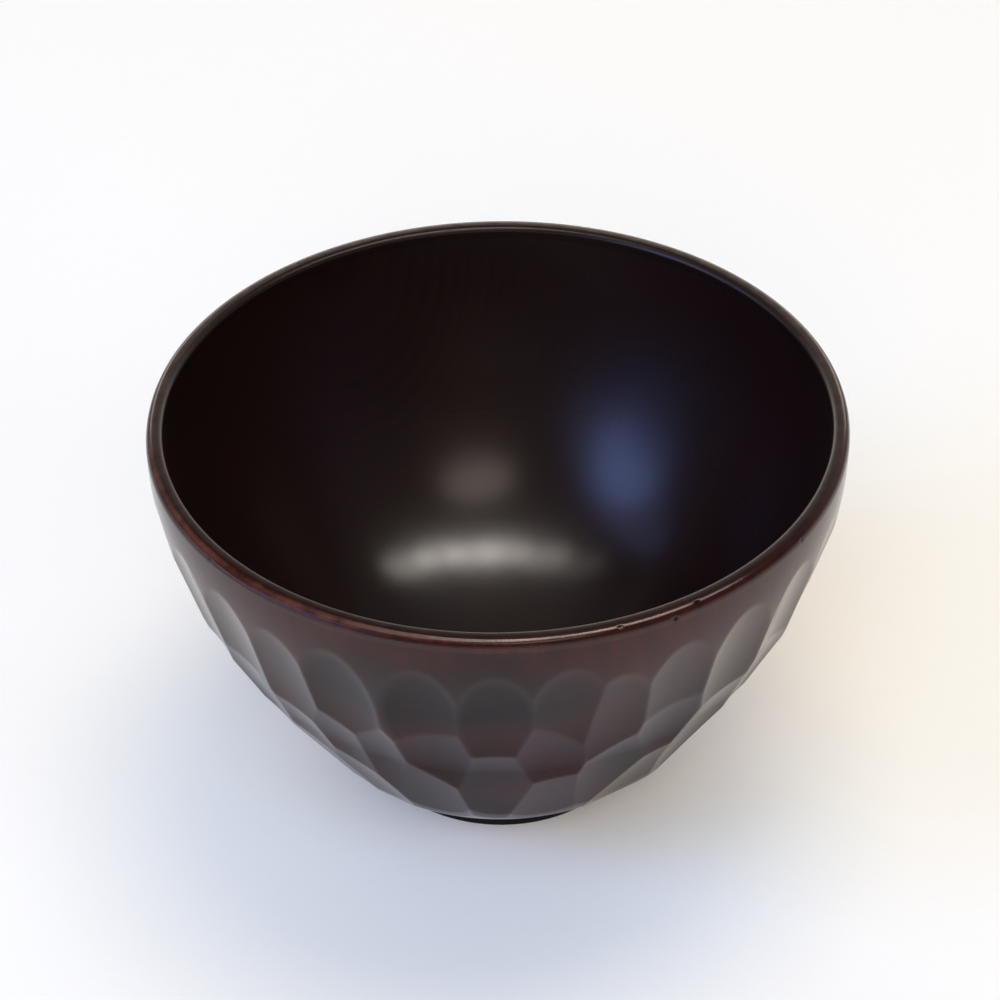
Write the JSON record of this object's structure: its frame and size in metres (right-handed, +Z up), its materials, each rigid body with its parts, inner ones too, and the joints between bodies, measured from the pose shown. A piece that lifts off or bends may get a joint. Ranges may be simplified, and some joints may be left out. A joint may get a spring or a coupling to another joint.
{
  "type": "lacquer bowl",
  "caption": "Round wooden bowl in dark brown lacquer, its outside carved with shallow gouge facets below a plain rim band, standing on a low black foot ring.",
  "frame": {"origin": "centre of the foot ring's resting face, on the bowl's turning axis", "axes": "+Z up along the turning axis, -Y towards the side that the picture shows, +X to its right"},
  "size_m": [0.12, 0.12, 0.074],
  "materials": {
    "wood": "turned and carved hardwood, sealed, hidden under the lacquer",
    "inner_lacquer": "satin near-black brown lacquer with faint wood grain",
    "rim_lacquer": "satin dark brown lacquer, rubbed redder along the outer edge",
    "outer_lacquer": "satin-gloss translucent dark reddish brown lacquer over carved wood",
    "foot_lacquer": "satin black lacquer"
  },
  "bodies": {
    "root": {"wood_core": "wood", "inner_lacquer": "inner_lacquer", "rim_lacquer": "rim_lacquer", "outer_lacquer": "outer_lacquer", "foot_lacquer": "foot_lacquer", "foot_recess_lacquer": "foot_lacquer"}
  },
  "joints": []
}
